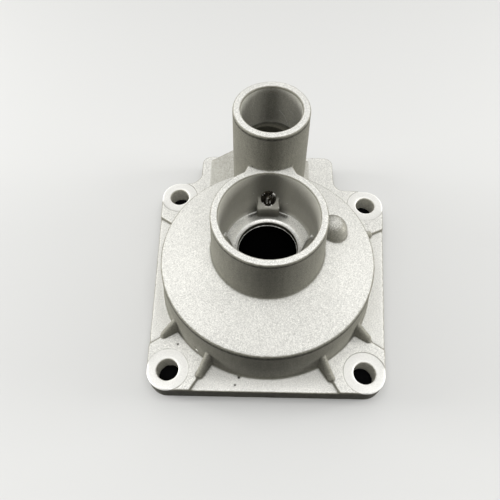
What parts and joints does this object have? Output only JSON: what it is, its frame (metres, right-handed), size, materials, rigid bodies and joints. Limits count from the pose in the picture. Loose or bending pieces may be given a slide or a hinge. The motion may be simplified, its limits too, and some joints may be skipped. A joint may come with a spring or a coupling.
{
  "type": "water pump housing",
  "caption": "Die-cast aluminium water pump housing: square bolting flange, low conical drum over the impeller chamber, central suction collar and an upright discharge pipe behind it.",
  "frame": {"origin": "on the pump axis, in the flange's mounting face", "axes": "+Z along the pump axis out of the suction collar, +Y from the collar to the discharge pipe, +X to the right seen with the pipe at the back"},
  "size_m": [0.0806, 0.0907, 0.0575],
  "materials": {
    "cast_aluminium": "shot-blasted die casting, fine matt grain, with brighter machined rims, bores and spot faces"
  },
  "bodies": {
    "root": {"housing": "cast_aluminium"}
  },
  "joints": []
}
